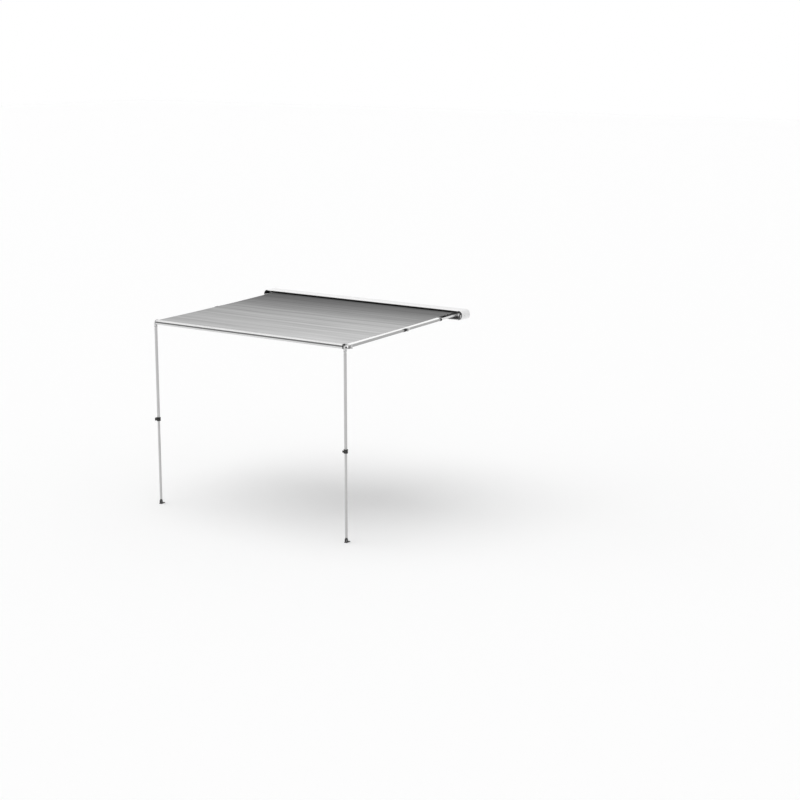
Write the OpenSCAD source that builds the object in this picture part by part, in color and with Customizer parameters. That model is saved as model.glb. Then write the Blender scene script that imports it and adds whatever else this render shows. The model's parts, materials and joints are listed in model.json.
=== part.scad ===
// Roll out awning for a caravan or camper wall.
// A wall cassette holds a sprung roller. Two folding rafters carry the front bar,
// and two telescopic legs swing down from the ends of that bar.
// Frame: origin at the centre of the cassette's back face, +X along the width,
// +Y into the wall, +Z up. The awning is drawn rolled out. Units are millimetres.

/* [Canopy] */
// Width of the fabric
fabric_w = 2770; // [2000:10:4000]
// Thickness of the fabric's solid
fabric_t = 1; // [0.6:0.1:1.6]
// Thickness of one layer of cloth on the roller
cloth_t = 0.5; // [0.3:0.05:0.7]
// Fall of the canopy toward the front, in degrees
slope = 1.7; // [0:0.05:4]
// Height of the fabric above the plane of the rafters
fabric_rise = 30; // [25:0.5:30]

/* [Cassette] */
// Depth of the cassette from the wall to its front lip
cassette_depth = 170; // [165:1:200]
// Height of the cassette
cassette_h = 116; // [112:1:150]
// Wall of the hood and of the bottom tray
sheet_t = 3; // [2:0.5:4]
// Corner radius of the hood and of the tray
lip_r = 8; // [6:1:16]
// Thickness of the back rail
rail_t = 4; // [3:0.5:6]
// How far an end cap stands out past the hood
end_cap_w = 58; // [30:1:58]
// Wall of an end cap
end_cap_t = 3; // [2:0.5:4]
// How far the rafter plane lies above the cassette's middle
rafter_lift = -1; // [-4:0.5:5]
// Diameter of the screw holes in the back rail
wall_hole_d = 6.5; // [4.5:0.5:8.5]
// Spacing of the screw holes along the wall
wall_hole_x = 300; // [150:10:400]
// Spacing of the screw holes up the wall
wall_hole_z = 88; // [84:1:90]

/* [Roller] */
// Outside diameter of the roller tube
roller_d = 38; // [32:1:44]
// Wall of the roller tube
roller_wall = 1.5; // [1:0.25:3]
// Layers of cloth that stay on the roller
spare_layers = 5; // [3:1:7]
// Diameter of the roller's axles
axle_d = 12; // [8:1:14]
// Length of the torsion spring
spring_l = 500; // [300:10:700]

/* [Rafters] */
// Length of each rafter link, pivot to pivot
rafter_link = 1075; // [800:5:1300]
// Outside diameter of the front tube
front_tube_d = 31; // [28:0.5:31]
// Outside diameter of the middle tube
mid_tube_d = 28; // [24:0.5:28]
// Wall of the middle tube
mid_wall = 2; // [1.5:0.25:2.5]
// Wall of the front tube
front_wall = 1.6; // [1.2:0.1:2.5]
// Distance from the wall pivot to the lock collar
rod_reach = 372; // [200:1:500]
// Length of the wall rod that stays inside the middle tube
rod_overlap = 150; // [80:5:250]
// How far the pivots stand outboard of the tubes
pivot_offset = 19; // [19:0.5:21]
// Gap in plan from the fabric's edge to the middle of the rafter
rafter_gap = 30; // [28:1:60]
// Diameter of the rafter's pivot pins
pivot_d = 10; // [8:0.5:12]

/* [Lead bar] */
// Depth of the bar, front to back
bar_d = 52; // [46:1:70]
// Height of the bar
bar_h = 50; // [50:1:80]
// Corner radius of the bar
bar_r = 10; // [6:1:14]
// Wall of the bar
bar_wall = 2.5; // [2:0.25:3.5]
// How much shorter the bar is than the fabric at each end
bar_inset = 4; // [0:1:20]
// Height of the groove in the front face
groove_h = 17; // [10:1:22]
// How far the groove lies above the bar's middle
groove_up = 4; // [0:0.5:4]
// Depth of the groove in the front face
groove_d = 3; // [2:0.5:5]
// Distance from the bar's back face to the rafter pivot
bar_back = 44; // [44:1:60]
// Diameter of the bead along the fabric's front edge
keder_d = 6; // [4:0.5:7]

/* [Legs] */
// Height of the leg bolt above the ground
bolt_height = 2218; // [1800:1:2500]
// Height of the leg clamp's middle above the ground
clamp_height = 1051; // [900:1:1200]
// Outside diameter of the upper leg tube
upper_d = 34; // [30:0.5:38]
// Outside diameter of the lower leg tube
lower_d = 29; // [24:0.5:29]
// Wall of the leg tubes
leg_wall = 1.8; // [1.2:0.1:2]
// Length of lower tube that stays inside the upper tube
leg_overlap = 150; // [100:5:250]
// Distance from the leg bolt down to the fold pin
fold_drop = 44; // [43:0.5:50]
// Diameter of the leg bolt
bolt_d = 10; // [8:0.5:12]
// Diameter of the fold pin
fold_pin_d = 8; // [6:0.5:10]
// Width of the knuckle along the bar
knuckle_w = 24; // [20:1:30]
// Outside diameter of the clamp
clamp_d = 48; // [44:1:50]
// Height of the clamp
clamp_h = 44; // [36:1:60]

/* [Feet] */
// Width of the foot plate
foot_w = 34; // [32:1:60]
// Reach of the foot plate toward the wall
foot_toe = 58; // [45:1:90]
// Reach of the foot plate to the front
foot_heel = 20; // [16:1:40]
// Thickness of the foot plate
foot_t = 6; // [4:0.5:10]
// Height of the foot's pin above the ground
foot_pin_z = 32; // [30:1:45]
// Diameter of the foot's pin
foot_pin_d = 8; // [6:0.5:10]
// Diameter of the hole for a ground peg
peg_d = 11; // [8:0.5:14]

/* [Fits] */
// Radial clearance of pins and axles that turn
run_fit = 0.05; // [0.02:0.01:0.1]
// Clearance between faces of pieces that pass each other
face_gap = 0.3; // [0.2:0.05:0.5]
// Radial clearance of the pivot that closes the rafters' linkage
open_fit = 0.3; // [0.2:0.05:0.4]
// Gap between the fabric and what it passes
soft_gap = 0.3; // [0.2:0.05:0.6]

/* [Hidden] */
$fn = 64;

// Colours of the finishes
white_paint = "#f2f2ef";
dark_plastic = "#202124";
bright_metal = "#c9cccf";
grey_plastic = "#8b8e92";
steel = "#9da1a6";
cloth_grey = "#a4a8ac";
strip_grey = "#7d8084";

// How far a cutting body reaches past the face that it cuts
cut = 1;

// Rafter pivots: eyes turn between the two plates of a fork
eye_r = 12;
eye_h = 32;
fork_t = 4.5;
fork_r = 15;
pin_head_t = 2;
pin_lip = 3;
pin_head_r = pivot_d / 2 + pin_lip;
fork_gap = eye_h + 2 * face_gap;
fork_top = fork_gap / 2 + fork_t;
front_r = front_tube_d / 2;
mid_r = mid_tube_d / 2;
rod_play = 0.5;
rod_r = mid_r - mid_wall - rod_play;
collar_wall = 3;
collar_r = mid_r + collar_wall;
collar_l = 28;

// Elbow in the middle of each rafter
elbow_pin_r = 4;
elbow_eye_r = 11;
lug_h = 12;
elbow_fork_h = 6;
elbow_clear = 2;
elbow_start = elbow_eye_r + elbow_clear;
elbow_l = 45;
rear_socket_r = pivot_offset - elbow_clear;
socket_clear = 0.5;
front_socket_r = pivot_offset - socket_clear;
socket_end_t = 3;

// Wound cloth on the roller, now and when the awning is rolled in
roll_r = roller_d / 2 + spare_layers * cloth_t;
full_roll_r = sqrt(pow(roll_r, 2) + 2 * rafter_link * cloth_t / PI);
roll_clear = 4;
rail_clear = 6;

// Places in the canopy frame, whose origin is on the wall pivots' axis
roller_py = pivot_offset + collar_r + roll_clear + full_roll_r;
roller_pz = fabric_rise - fabric_t / 2 - soft_gap - roll_r;
wall_pivot_y = -(rail_t + rail_clear + full_roll_r + roller_py);
wall_pivot_z = rafter_lift;
bar_pivot_py = -2 * rafter_link;
bar_rear_py = bar_pivot_py - bar_back;
bar_mid_py = bar_rear_py - bar_d / 2;
bar_lip = 5;
bar_mid_pz = fabric_rise + bar_lip - bar_h / 2;
bar_bottom_pz = bar_mid_pz - bar_h / 2;
keder_play = 0.2;
slot_play = 1.4;
keder_depth = 1.5;
keder_in = keder_d / 2 + bar_wall + keder_depth;
keder_py = bar_rear_py - keder_in;
bolt_up = 15;
bolt_pz = bar_bottom_pz + bolt_up;
bolt_bz = bolt_pz - bar_mid_pz;
bolt_in = 15;
bar_cap_rim = 6;
bar_cap_round = 4;
boss_wall = 3;
boss_end = 4;

// Where a point of the canopy frame lies in the part's own frame
function canopy_y(y, z) = wall_pivot_y + y * cos(slope) - z * sin(slope);
function canopy_z(y, z) = wall_pivot_z + y * sin(slope) + z * cos(slope);
roller_y = canopy_y(roller_py, roller_pz);
roller_z = canopy_z(roller_py, roller_pz);
leg_y = canopy_y(bar_mid_py, bolt_pz);
leg_z = canopy_z(bar_mid_py, bolt_pz);

// Places along the width
tube_x = fabric_w / 2 + rafter_gap;
pivot_x = tube_x + pivot_offset;
bracket_out = 31;
cassette_x = pivot_x + bracket_out;
roller_past = 5;
roller_x = fabric_w / 2 + roller_past;
plug_len = 40;
plug_flange_t = 4;
spring_wall = 5;
spring_back = 10;
shaft_past = 160;
idler_short = 5;
bar_x = fabric_w / 2 - bar_inset;
bar_cap_t = 6;
joint_gap = 1;
leg_x = bar_x + bar_cap_t + joint_gap + knuckle_w / 2;

// Legs, measured down from the leg bolt
upper_r = upper_d / 2;
lower_r = lower_d / 2;
knuckle_r = 19;
knuckle_d = 30;
tongue_w = 20;
tongue_r = 12;
neck_l = 10;
rim_t = 4;
tube_top = fold_drop + tongue_r + neck_l;
plug_l = 30;
clamp_mid = bolt_height - clamp_height;
clamp_seat = 4;
upper_end = clamp_mid - clamp_seat;
lower_top = upper_end - leg_overlap;
end_plug_drop = 26;
lower_end = bolt_height - foot_pin_z - end_plug_drop;
lever_pin_r = 4;
lever_t = 6;
lever_h = 22;
lever_front = 4;
lever_eye_wall = 3;
lever_eye_r = lever_pin_r + lever_eye_wall;
lever_side = 2;
lever_ahead = 3;
lever_past = 4;
ear_t = 6;
ear_w = 14;
lever_pin_x = clamp_d / 2 + lever_side;
lever_pin_y = -(clamp_d / 2 + lever_ahead);

// Feet
foot_ear_t = 5;
foot_ear_r = 12;
foot_side = 1;
foot_tongue = foot_w - 2 * (foot_ear_t + face_gap + foot_side);
tongue_trim = 2;
tongue_end_r = foot_ear_r - tongue_trim;
peg_edge = 8;
peg_y = foot_toe - peg_d / 2 - peg_edge;

// Cassette ends
web_t = 6;
web_front = 45;
screw_r = 4;
screw_head_t = 2.5;
screw_shank_r = 2;
flange_t = 6;
flange_h = 76;
cap_flat = 1;

// Three groups of four wall screws: left, middle and right
wall_group_in = 300;
wall_group_x = cassette_x - wall_group_in;
wall_screw_columns = [for (g = [-1, 0, 1], s = [-1, 1]) g * wall_group_x + s * wall_hole_x / 2];

// Two screws hold each wall bracket to its end cap, as (Y, Z)
bracket_screw_z = 30;
bracket_screw_spots = [
    for (s = [-1, 1])
        [canopy_y(0, s * bracket_screw_z), canopy_z(0, s * bracket_screw_z)]
];

module canopy_frame() {
    translate([0, wall_pivot_y, wall_pivot_z])
        rotate([slope, 0, 0])
            children();
}

module on_side(side) {
    if (side > 0) children();
    else mirror([1, 0, 0]) children();
}

module leg_frame(side) {
    on_side(side) translate([leg_x, leg_y, leg_z]) children();
}

// A profile in (Y, Z) drawn out along X
module along_x(x0, x1) {
    translate([x0, 0, 0])
        rotate([90, 0, 90])
            linear_extrude(x1 - x0)
                children();
}

module rod_x(r, x0, x1) {
    translate([x0, 0, 0]) rotate([0, 90, 0]) cylinder(r = r, h = x1 - x0);
}

module rod_y(r, y0, y1) {
    translate([0, y0, 0]) rotate([-90, 0, 0]) cylinder(r = r, h = y1 - y0);
}

module rod_z(r, z0, z1) {
    translate([0, 0, z0]) cylinder(r = r, h = z1 - z0);
}

module round_rect(w, h, r) {
    square([w - 2 * r, h], center = true);
    square([w, h - 2 * r], center = true);
    for (sx = [-1, 1], sy = [-1, 1])
        translate([sx * (w / 2 - r), sy * (h / 2 - r)])
            circle(r);
}

// A headed pin along Z with its middle at the origin
module headed_pin(r, head_r, half_l) {
    rod_z(r, -half_l, half_l);
    rod_z(head_r, half_l, half_l + pin_head_t);
    rod_z(head_r, -half_l - pin_head_t, -half_l);
}

// Cassette

// Outline of the top sheet with its rounded front lip
module sheet_profile() {
    straight = cassette_depth - lip_r;
    translate([-straight, cassette_h / 2 - sheet_t]) square([straight, sheet_t]);
    intersection() {
        translate([-straight, cassette_h / 2 - lip_r])
            difference() {
                circle(lip_r);
                circle(lip_r - sheet_t);
            }
        translate([-cassette_depth, cassette_h / 2 - lip_r]) square([lip_r, lip_r]);
    }
}

module back_rail() {
    rail_h = cassette_h - 2 * sheet_t;
    hook_l = 16;
    color(bright_metal)
        difference() {
            along_x(-cassette_x, cassette_x) {
                translate([-rail_t, -rail_h / 2]) square([rail_t, rail_h]);
                for (s = [-1, 1])
                    translate([-hook_l, s * (rail_h - rail_t) / 2 - rail_t / 2])
                        square([hook_l, rail_t]);
            }
            for (x = wall_screw_columns, z = [-1, 1])
                translate([x, 0, z * wall_hole_z / 2])
                    rod_y(wall_hole_d / 2, -rail_t - cut, cut);
        }
}

module hood() {
    color(white_paint) along_x(-cassette_x, cassette_x) sheet_profile();
}

module bottom_tray() {
    color(white_paint) along_x(-cassette_x, cassette_x) mirror([0, 1]) sheet_profile();
}

// Rounded end of the cassette, in (X, Z), outboard of x = 0
module cap_outline(w, h) {
    r = min(w, h / 2) - cap_flat;
    intersection() {
        translate([0, -h / 2]) square([w, h]);
        union() {
            translate([0, -h / 2]) square([w - r, h]);
            translate([0, r - h / 2]) square([w, h - 2 * r]);
            for (s = [-1, 1])
                translate([w - r, s * (h / 2 - r)])
                    circle(r);
        }
    }
}

// A profile in (X, Z) drawn out along Y, from y1 down to y0
module along_y(y0, y1) {
    translate([0, y1, 0]) rotate([90, 0, 0]) linear_extrude(y1 - y0) children();
}

// The end cap is open at the front, so the slot runs on into its rounded pocket
module cassette_end_cap(side) {
    color(white_paint)
        on_side(side)
            translate([cassette_x, 0, 0])
                difference() {
                    union() {
                        difference() {
                            along_y(-cassette_depth, 0) cap_outline(end_cap_w, cassette_h);
                            translate([-cut, 0, 0])
                                along_y(-cassette_depth - cut, -end_cap_t)
                                    cap_outline(end_cap_w - end_cap_t + cut, cassette_h - 2 * end_cap_t);
                        }
                        translate([0, -cassette_depth + web_front, end_cap_t - cassette_h / 2])
                            cube([web_t, cassette_depth - web_front, cassette_h - 2 * end_cap_t]);
                    }
                    translate([0, roller_y, roller_z]) rod_x(axle_d / 2, -cut, web_t + cut);
                    for (p = bracket_screw_spots)
                        translate([0, p[0], p[1]]) rod_x(screw_shank_r, -cut, web_t + cut);
                }
}

module slot_seal() {
    seal_h = 10;
    color(dark_plastic)
        along_x(-cassette_x, cassette_x)
            translate([-cassette_depth, cassette_h / 2 - lip_r - seal_h])
                square([sheet_t, seal_h]);
}

module spring_shaft() {
    color(steel)
        translate([0, roller_y, roller_z])
            rod_x(axle_d / 2, cassette_x - spring_l - shaft_past, cassette_x + web_t);
}

module torsion_spring() {
    spring_end = roller_x - plug_len - spring_back;
    color(steel)
        translate([0, roller_y, roller_z])
            difference() {
                rod_x(axle_d / 2 + spring_wall, spring_end - spring_l, spring_end);
                rod_x(axle_d / 2 + face_gap, spring_end - spring_l - cut, spring_end + cut);
            }
}

module idler_pin() {
    color(steel)
        translate([0, roller_y, roller_z])
            rod_x(axle_d / 2, -cassette_x - web_t, -roller_x + plug_len - idler_short);
}

// The two plates of a fork round a pivot, from x0 to x1 and y0 to y1 as seen from it
module fork_plates(x0, x1, y0, y1) {
    for (s = [-1, 1])
        translate([0, 0, s * (fork_gap + fork_t) / 2 - fork_t / 2]) {
            cylinder(r = fork_r, h = fork_t);
            translate([x0, y0, 0]) cube([x1 - x0, y1 - y0, fork_t]);
        }
}

module rafter_wall_brackets() {
    color(grey_plastic)
        for (side = [-1, 1])
            rafter_frame(side)
                difference() {
                    union() {
                        fork_plates(0, bracket_out, -fork_r, fork_r);
                        translate([bracket_out - flange_t, -fork_r, -flange_h / 2])
                            cube([flange_t, 2 * fork_r, flange_h]);
                    }
                    rod_z(pivot_d / 2, -fork_top - cut, fork_top + cut);
                    for (s = [-1, 1])
                        translate([0, 0, s * bracket_screw_z])
                            rod_x(screw_shank_r, bracket_out - flange_t - cut, bracket_out + cut);
                }
}

module wall_pivot_pins() {
    color(steel)
        for (side = [-1, 1])
            rafter_frame(side) headed_pin(pivot_d / 2, pin_head_r, fork_top);
}

module cassette_screws() {
    color(steel)
        for (side = [-1, 1], s = [-1, 1])
            on_side(side)
                canopy_frame()
                    translate([cassette_x - flange_t, 0, s * bracket_screw_z]) {
                        rod_x(screw_shank_r, 0, flange_t + web_t - face_gap);
                        rod_x(screw_r, -screw_head_t, 0);
                    }
}

// The cloth narrows where it enters the bar's slot, between the bar's end caps
module canopy_fabric() {
    front = keder_py + keder_d / 2 + soft_gap;
    wide_front = bar_rear_py + soft_gap;
    tab_x = bar_x - soft_gap;
    color(cloth_grey)
        canopy_frame()
            translate([0, 0, fabric_rise - fabric_t / 2]) {
                translate([-fabric_w / 2, wide_front, 0])
                    cube([fabric_w, roller_py - wide_front, fabric_t]);
                translate([-tab_x, front, 0])
                    cube([2 * tab_x, wide_front - front, fabric_t]);
            }
}

// Roller

module roller_tube() {
    color(bright_metal)
        translate([0, roller_y, roller_z])
            difference() {
                rod_x(roller_d / 2, -roller_x, roller_x);
                rod_x(roller_d / 2 - roller_wall, -roller_x - cut, roller_x + cut);
            }
}

module roller_plugs() {
    color(dark_plastic)
        for (side = [-1, 1])
            on_side(side)
                translate([0, roller_y, roller_z])
                    difference() {
                        union() {
                            rod_x(roller_d / 2 - roller_wall, roller_x - plug_len, roller_x);
                            rod_x(roll_r, roller_x, roller_x + plug_flange_t);
                        }
                        translate([roller_x, 0, 0])
                            rod_x(axle_d / 2 + run_fit, -plug_len - cut, plug_flange_t + cut);
                    }
}

module fabric_roll() {
    color(cloth_grey)
        translate([0, roller_y, roller_z])
            difference() {
                rod_x(roll_r, -fabric_w / 2, fabric_w / 2);
                rod_x(roller_d / 2, -fabric_w / 2 - cut, fabric_w / 2 + cut);
            }
}

// Rafters, drawn on the right side in the canopy frame

module rafter_frame(side) {
    on_side(side) canopy_frame() translate([pivot_x, 0, 0]) children();
}

// An eye round a pivot with a block that reaches in to the tube's axis
module offset_eye(r) {
    cylinder(r = eye_r, h = eye_h, center = true);
    translate([-pivot_offset - r, -eye_r, -r]) cube([pivot_offset + r, 2 * eye_r, 2 * r]);
}

module rafter_rod(side) {
    color(bright_metal)
        rafter_frame(side)
            difference() {
                union() {
                    offset_eye(rod_r);
                    translate([-pivot_offset, 0, 0])
                        rod_y(rod_r, -rod_reach - rod_overlap, 0);
                }
                rod_z(pivot_d / 2 + run_fit, -eye_h, eye_h);
            }
}

module lock_collar(side) {
    color(dark_plastic)
        rafter_frame(side)
            translate([-pivot_offset, -rod_reach, 0])
                difference() {
                    rod_y(collar_r, -collar_l / 2, collar_l / 2);
                    rod_y(mid_r + face_gap, -collar_l / 2 - cut, face_gap);
                    rod_y(rod_r + face_gap, -collar_l, collar_l);
                }
}

module rafter_mid_tube(side) {
    color(bright_metal)
        rafter_frame(side)
            translate([-pivot_offset, 0, 0])
                difference() {
                    rod_y(mid_r, socket_end_t + elbow_start - rafter_link, -rod_reach);
                    rod_y(mid_r - mid_wall, -rafter_link, -rod_reach + cut);
                }
}

// A socket round a tube's end; dir points from the elbow along the tube
module elbow_socket(r, bore_r, dir) {
    near = dir * elbow_start;
    far = dir * (elbow_start + elbow_l);
    floor_y = dir * (elbow_start + socket_end_t);
    translate([-pivot_offset, 0, 0])
        difference() {
            rod_y(r, min(near, far), max(near, far));
            rod_y(bore_r, min(floor_y, far + dir), max(floor_y, far + dir));
        }
}

// A plate from the elbow's pivot to the socket's end
module elbow_plate(h, dir) {
    reach = elbow_start + socket_end_t;
    cylinder(r = elbow_eye_r, h = h, center = true);
    translate([-pivot_offset, dir > 0 ? 0 : -reach, -h / 2]) cube([pivot_offset, reach, h]);
}

module elbow_rear(side) {
    color(bright_metal)
        rafter_frame(side)
            translate([0, -rafter_link, 0])
                difference() {
                    union() {
                        elbow_socket(rear_socket_r, mid_r, 1);
                        elbow_plate(lug_h, 1);
                    }
                    rod_z(elbow_pin_r + run_fit, -lug_h, lug_h);
                }
}

module elbow_front(side) {
    color(dark_plastic)
        rafter_frame(side)
            translate([0, -rafter_link, 0])
                difference() {
                    union() {
                        elbow_socket(front_socket_r, front_r, -1);
                        for (s = [-1, 1])
                            translate([0, 0, s * ((lug_h + elbow_fork_h) / 2 + face_gap)])
                                elbow_plate(elbow_fork_h, -1);
                    }
                    rod_z(elbow_pin_r, -2 * lug_h, 2 * lug_h);
                }
}

module elbow_pin(side) {
    color(steel)
        rafter_frame(side)
            translate([0, -rafter_link, 0])
                headed_pin(elbow_pin_r, elbow_pin_r + pin_lip, lug_h / 2 + elbow_fork_h + face_gap);
}

module rafter_front_tube(side) {
    color(bright_metal)
        rafter_frame(side)
            translate([-pivot_offset, 0, 0])
                difference() {
                    rod_y(front_r, bar_pivot_py + eye_r, -rafter_link - elbow_start - socket_end_t);
                    rod_y(front_r - front_wall, bar_pivot_py, -rafter_link);
                }
}

// The left eye closes the linkage, so its bore is the looser one
module rafter_front_eye(side) {
    eye_fit = side > 0 ? run_fit : open_fit;
    color(bright_metal)
        rafter_frame(side)
            translate([0, bar_pivot_py, 0])
                difference() {
                    union() {
                        offset_eye(front_r);
                        translate([-pivot_offset, 0, 0])
                            rod_y(front_r - front_wall, 0, eye_r + plug_l);
                    }
                    rod_z(pivot_d / 2 + eye_fit, -eye_h, eye_h);
                }
}

// Lead bar

// Outline of the bar in (y, z) with the bar's middle at the origin
module bar_profile() {
    inner_d = bar_d - 2 * bar_wall;
    inner_h = bar_h - 2 * bar_wall;
    keder_c = [bar_d / 2 - keder_in, bar_h / 2 - bar_lip];
    keder_hole_r = keder_d / 2 + keder_play;
    slot_h = fabric_t + slot_play;
    difference() {
        union() {
            difference() {
                round_rect(bar_d, bar_h, bar_r);
                round_rect(inner_d, inner_h, bar_r - bar_wall);
            }
            intersection() {
                round_rect(bar_d, bar_h, bar_r);
                union() {
                    translate(keder_c) circle(keder_hole_r + bar_wall);
                    translate(keder_c - [0, keder_hole_r + bar_wall])
                        square([keder_in, 2 * (keder_hole_r + bar_wall)]);
                    translate([-bar_d / 2, groove_up - groove_h / 2 - bar_wall])
                        square([groove_d + bar_wall, groove_h + 2 * bar_wall]);
                }
            }
        }
        translate(keder_c) circle(keder_hole_r);
        translate(keder_c - [0, slot_h / 2]) square([keder_in + cut, slot_h]);
        translate([-bar_d / 2 - cut, groove_up - groove_h / 2]) square([groove_d + cut, groove_h]);
    }
}

module bar_frame() {
    canopy_frame() translate([0, bar_mid_py, bar_mid_pz]) children();
}

module lead_bar() {
    color(bright_metal) bar_frame() along_x(-bar_x, bar_x) bar_profile();
}

module groove_strip() {
    strip_in = 1;
    strip_t = groove_d - strip_in;
    color(strip_grey)
        bar_frame()
            along_x(-bar_x, bar_x)
                translate([strip_in - bar_d / 2, groove_up - groove_h / 2])
                    square([strip_t, groove_h]);
}

module bar_end_cap(side) {
    boss_l = bolt_in + boss_end;
    boss_r = bolt_d / 2 + boss_wall;
    color(dark_plastic)
        on_side(side)
            bar_frame()
                difference() {
                    union() {
                        along_x(bar_x, bar_x + bar_cap_t)
                            round_rect(bar_d, bar_h + bar_cap_rim, bar_r + bar_cap_round);
                        translate([0, 0, bolt_bz]) rod_x(boss_r, bar_x - boss_l, bar_x);
                    }
                    translate([0, 0, bolt_bz]) rod_x(bolt_d / 2, bar_x - bolt_in, bar_x + bar_cap_t + cut);
                }
}

module front_keder() {
    color(cloth_grey)
        canopy_frame()
            translate([0, keder_py, fabric_rise])
                rod_x(keder_d / 2, -bar_x, bar_x);
}

module rafter_bar_brackets() {
    base_t = 4;
    base_w = 70;
    base_x = bar_x - base_w - pivot_x;
    color(bright_metal)
        for (side = [-1, 1])
            rafter_frame(side)
                translate([0, bar_pivot_py, 0])
                    difference() {
                        union() {
                            fork_plates(base_x, 0, -bar_back, 0);
                            translate([base_x, -bar_back, -fork_top])
                                cube([base_w, base_t, 2 * fork_top]);
                        }
                        rod_z(pivot_d / 2, -fork_top - cut, fork_top + cut);
                    }
}

module bar_pivot_pins() {
    color(steel)
        for (side = [-1, 1])
            rafter_frame(side)
                translate([0, bar_pivot_py, 0])
                    headed_pin(pivot_d / 2, pin_head_r, fork_top);
}

module leg_bolts() {
    head_r = 10;
    head_t = 6;
    color(dark_plastic)
        for (side = [-1, 1])
            leg_frame(side) {
                rod_x(bolt_d / 2, bar_x - bolt_in - leg_x, knuckle_w / 2 + joint_gap);
                rod_x(head_r, knuckle_w / 2 + joint_gap, knuckle_w / 2 + joint_gap + head_t);
            }
}

// Legs, drawn hanging from the leg bolt

module leg_knuckle(side) {
    cheek_w = tongue_w + 2 * face_gap;
    color(bright_metal)
        leg_frame(side)
            difference() {
                union() {
                    rod_x(knuckle_r, -knuckle_w / 2, knuckle_w / 2);
                    translate([-knuckle_w / 2, -knuckle_d / 2, -fold_drop])
                        cube([knuckle_w, knuckle_d, fold_drop]);
                    translate([0, 0, -fold_drop]) rod_y(knuckle_w / 2, -knuckle_d / 2, knuckle_d / 2);
                }
                rod_x(bolt_d / 2 + run_fit, -knuckle_w, knuckle_w);
                translate([-knuckle_w, -cheek_w / 2, -fold_drop - knuckle_w])
                    cube([2 * knuckle_w, cheek_w, knuckle_w + tongue_r + joint_gap]);
                translate([0, 0, -fold_drop]) rod_y(fold_pin_d / 2, -knuckle_d, knuckle_d);
            }
}

module fold_pin(side) {
    color(steel)
        leg_frame(side)
            translate([0, 0, -fold_drop])
                rotate([90, 0, 0])
                    headed_pin(fold_pin_d / 2, fold_pin_d / 2 + pin_head_t, knuckle_d / 2);
}

module leg_top(side) {
    color(bright_metal)
        leg_frame(side)
            difference() {
                union() {
                    translate([0, 0, -fold_drop]) rod_y(tongue_r, -tongue_w / 2, tongue_w / 2);
                    translate([-tongue_r, -tongue_w / 2, -tube_top])
                        cube([2 * tongue_r, tongue_w, tube_top - fold_drop]);
                    rod_z(upper_r, -tube_top, -tube_top + rim_t);
                    rod_z(upper_r - leg_wall, -tube_top - plug_l, -tube_top);
                }
                translate([0, 0, -fold_drop]) rod_y(fold_pin_d / 2 + run_fit, -tongue_w, tongue_w);
            }
}

module leg_upper_tube(side) {
    color(bright_metal)
        leg_frame(side)
            difference() {
                rod_z(upper_r, -upper_end, -tube_top);
                rod_z(upper_r - leg_wall, -upper_end - cut, -tube_top + cut);
            }
}

module leg_clamp(side) {
    ear_z = (lever_h + ear_t) / 2 + face_gap;
    color(dark_plastic)
        leg_frame(side)
            translate([0, 0, -clamp_mid])
                difference() {
                    union() {
                        rod_z(clamp_d / 2, -clamp_h / 2, clamp_h / 2);
                        for (s = [-1, 1])
                            translate([lever_pin_x, lever_pin_y, s * ear_z - ear_t / 2]) {
                                cylinder(r = lever_eye_r, h = ear_t);
                                translate([-ear_w, 0, 0]) cube([ear_w, clamp_d / 2, ear_t]);
                            }
                        translate([lever_pin_x, lever_pin_y, 0])
                            cylinder(r = lever_pin_r, h = lever_h + ear_t, center = true);
                    }
                    rod_z(upper_r, clamp_mid - upper_end, clamp_h);
                    rod_z(lower_r + face_gap, -clamp_h, clamp_h);
                }
}

module clamp_lever(side) {
    lever_l = clamp_d + lever_past;
    color(dark_plastic)
        leg_frame(side)
            translate([lever_pin_x, lever_pin_y, -clamp_mid])
                difference() {
                    union() {
                        cylinder(r = lever_eye_r, h = lever_h, center = true);
                        translate([-lever_l, -lever_front, -lever_h / 2])
                            cube([lever_l, lever_t, lever_h]);
                    }
                    cylinder(r = lever_pin_r + run_fit, h = lever_h + cut, center = true);
                }
}

module leg_lower_tube(side) {
    color(bright_metal)
        leg_frame(side)
            difference() {
                rod_z(lower_r, -lower_end, -lower_top);
                rod_z(lower_r - leg_wall, -lower_end - cut, -lower_top + cut);
            }
}

module leg_end_plug(side) {
    color(grey_plastic)
        leg_frame(side)
            difference() {
                union() {
                    rod_z(lower_r - leg_wall, -lower_end, -lower_end + plug_l);
                    rod_z(lower_r, -lower_end - rim_t, -lower_end);
                    translate([-foot_tongue / 2, -tongue_end_r, -bolt_height + foot_pin_z])
                        cube([foot_tongue, 2 * tongue_end_r, end_plug_drop]);
                    translate([0, 0, -bolt_height + foot_pin_z])
                        rod_x(tongue_end_r, -foot_tongue / 2, foot_tongue / 2);
                }
                translate([0, 0, -bolt_height + foot_pin_z])
                    rod_x(foot_pin_d / 2 + run_fit, -foot_w, foot_w);
            }
}

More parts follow.
